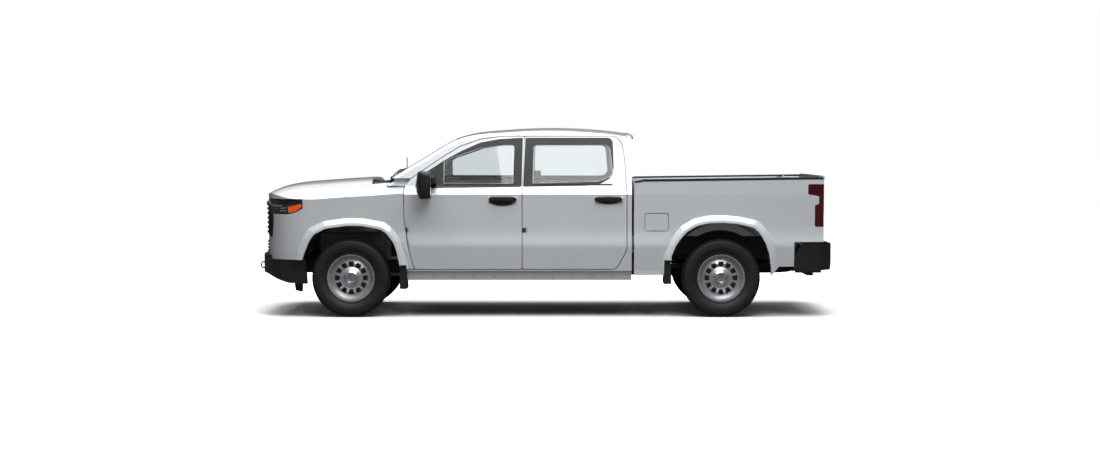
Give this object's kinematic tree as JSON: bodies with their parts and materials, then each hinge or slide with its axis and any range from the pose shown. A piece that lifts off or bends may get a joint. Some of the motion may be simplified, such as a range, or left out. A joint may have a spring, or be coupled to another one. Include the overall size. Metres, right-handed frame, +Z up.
{
  "type": "pickup truck",
  "caption": "Full-size four-door pickup truck with a short open load bed, opening doors, hood and tailgate, and steered front wheels",
  "frame": {"origin": "on the ground under the middle of the truck's bounding box", "axes": "+X to the tail, +Y to the truck's right-hand side, +Z up"},
  "size_m": [5.885, 2.476, 1.9186],
  "materials": {
    "paint": "gloss",
    "bed_paint": "satin",
    "black_plastic": "matte",
    "tyre": "matte",
    "wheel_steel": "satin",
    "glass": "gloss",
    "lamp_clear": "gloss",
    "lamp_red": "gloss",
    "chassis": "satin",
    "alloy": "satin",
    "exhaust_steel": "satin",
    "fabric": "matte",
    "cabin_plastic": "matte"
  },
  "bodies": {
    "truck": {"arch_liners": "black_plastic", "bed_side_left": "paint", "bed_side_right": "paint", "bed_tub": "bed_paint", "cab_shell": "paint", "cowl": "black_plastic", "dashboard": "cabin_plastic", "driveshaft": "chassis", "engine": "alloy", "exhaust": "exhaust_steel", "fender_left": "paint", "fender_right": "paint", "front_bumper": "black_plastic", "front_fascia": "paint", "fuel_tank": "black_plastic", "gearbox": "alloy", "grille": "black_plastic", "head_lamps": "lamp_clear", "ladder_frame": "chassis", "leaf_springs": "chassis", "mud_flaps": "tyre", "radiator": "alloy", "rear_axle": "chassis", "rear_bumper": "black_plastic", "seat_rear": "fabric", "seats_front": "fabric", "spare_wheel": "tyre", "suspension": "chassis", "tail_lamps": "lamp_red", "tow_hitch": "chassis", "windows_fixed": "glass"},
    "door_front_left": {"door_front_left": "paint", "glass_front_left": "glass", "mirror_left": "black_plastic"},
    "door_front_right": {"door_front_right": "paint", "glass_front_right": "glass", "mirror_right": "black_plastic"},
    "door_rear_left": {"door_rear_left": "paint", "glass_rear_left": "glass"},
    "door_rear_right": {"door_rear_right": "paint", "glass_rear_right": "glass"},
    "hood": {"hood": "paint"},
    "tailgate": {"tailgate": "paint"},
    "fuel_lid": {"fuel_lid": "paint"},
    "knuckle_left": {"knuckle_left": "chassis"},
    "knuckle_right": {"knuckle_right": "chassis"},
    "wheel_front_left": {"tyre_front_left": "tyre", "rim_front_left": "wheel_steel"},
    "wheel_front_right": {"tyre_front_right": "tyre", "rim_front_right": "wheel_steel"},
    "wheel_rear_left": {"tyre_rear_left": "tyre", "rim_rear_left": "wheel_steel"},
    "wheel_rear_right": {"tyre_rear_right": "tyre", "rim_rear_right": "wheel_steel"},
    "steering_wheel": {"steering_wheel": "cabin_plastic"}
  },
  "joints": [
    {"name": "door_front_left_hinge", "type": "hinge", "parent": "truck", "child": "door_front_left", "pos_m": [-1.3855, -0.981, 1.025], "axis": [0, 0, -1], "range_deg": [0, 66]},
    {"name": "door_front_right_hinge", "type": "hinge", "parent": "truck", "child": "door_front_right", "pos_m": [-1.3855, 0.981, 1.025], "axis": [0, 0, 1], "range_deg": [0, 66]},
    {"name": "door_rear_left_hinge", "type": "hinge", "parent": "truck", "child": "door_rear_left", "pos_m": [-0.1915, -0.981, 1.025], "axis": [0, 0, -1], "range_deg": [0, 66]},
    {"name": "door_rear_right_hinge", "type": "hinge", "parent": "truck", "child": "door_rear_right", "pos_m": [-0.1915, 0.981, 1.025], "axis": [0, 0, 1], "range_deg": [0, 66]},
    {"name": "hood_hinge", "type": "hinge", "parent": "truck", "child": "hood", "pos_m": [-1.7005, 0, 1.25], "axis": [0, 1, 0], "range_deg": [0, 42]},
    {"name": "tailgate_hinge", "type": "hinge", "parent": "truck", "child": "tailgate", "pos_m": [2.80206, 0, 0.833], "axis": [0, 1, 0], "range_deg": [0, 90]},
    {"name": "fuel_lid_hinge", "type": "hinge", "parent": "truck", "child": "fuel_lid", "pos_m": [1.015, -0.9848, 0.962], "axis": [0, 0, -1], "range_deg": [0, 90]},
    {"name": "steer_left", "type": "hinge", "parent": "truck", "child": "knuckle_left", "pos_m": [-1.9675, -0.8, 0.395], "axis": [0, 0, 1], "range_deg": [-35, 35]},
    {"name": "steer_right", "type": "hinge", "parent": "truck", "child": "knuckle_right", "pos_m": [-1.9675, 0.8, 0.395], "axis": [0, 0, 1], "range_deg": [-35, 35]},
    {"name": "wheel_front_left_spin", "type": "hinge", "parent": "knuckle_left", "child": "wheel_front_left", "pos_m": [-1.9675, -0.8725, 0.395], "axis": [0, 1, 0], "continuous": true},
    {"name": "wheel_front_right_spin", "type": "hinge", "parent": "knuckle_right", "child": "wheel_front_right", "pos_m": [-1.9675, 0.8725, 0.395], "axis": [0, 1, 0], "continuous": true},
    {"name": "wheel_rear_left_spin", "type": "hinge", "parent": "truck", "child": "wheel_rear_left", "pos_m": [1.7775, -0.8725, 0.395], "axis": [0, 1, 0], "continuous": true},
    {"name": "wheel_rear_right_spin", "type": "hinge", "parent": "truck", "child": "wheel_rear_right", "pos_m": [1.7775, 0.8725, 0.395], "axis": [0, 1, 0], "continuous": true},
    {"name": "steering_wheel_turn", "type": "hinge", "parent": "truck", "child": "steering_wheel", "pos_m": [-0.905, -0.39, 1.15], "axis": [0.9063, 0, 0.4226], "range_deg": [-560, 560]}
  ],
  "couplings": [
    {"joint": "steer_right", "follows": "steer_left", "ratio": 1},
    {"joint": "steering_wheel_turn", "follows": "steer_left", "ratio": 16}
  ]
}
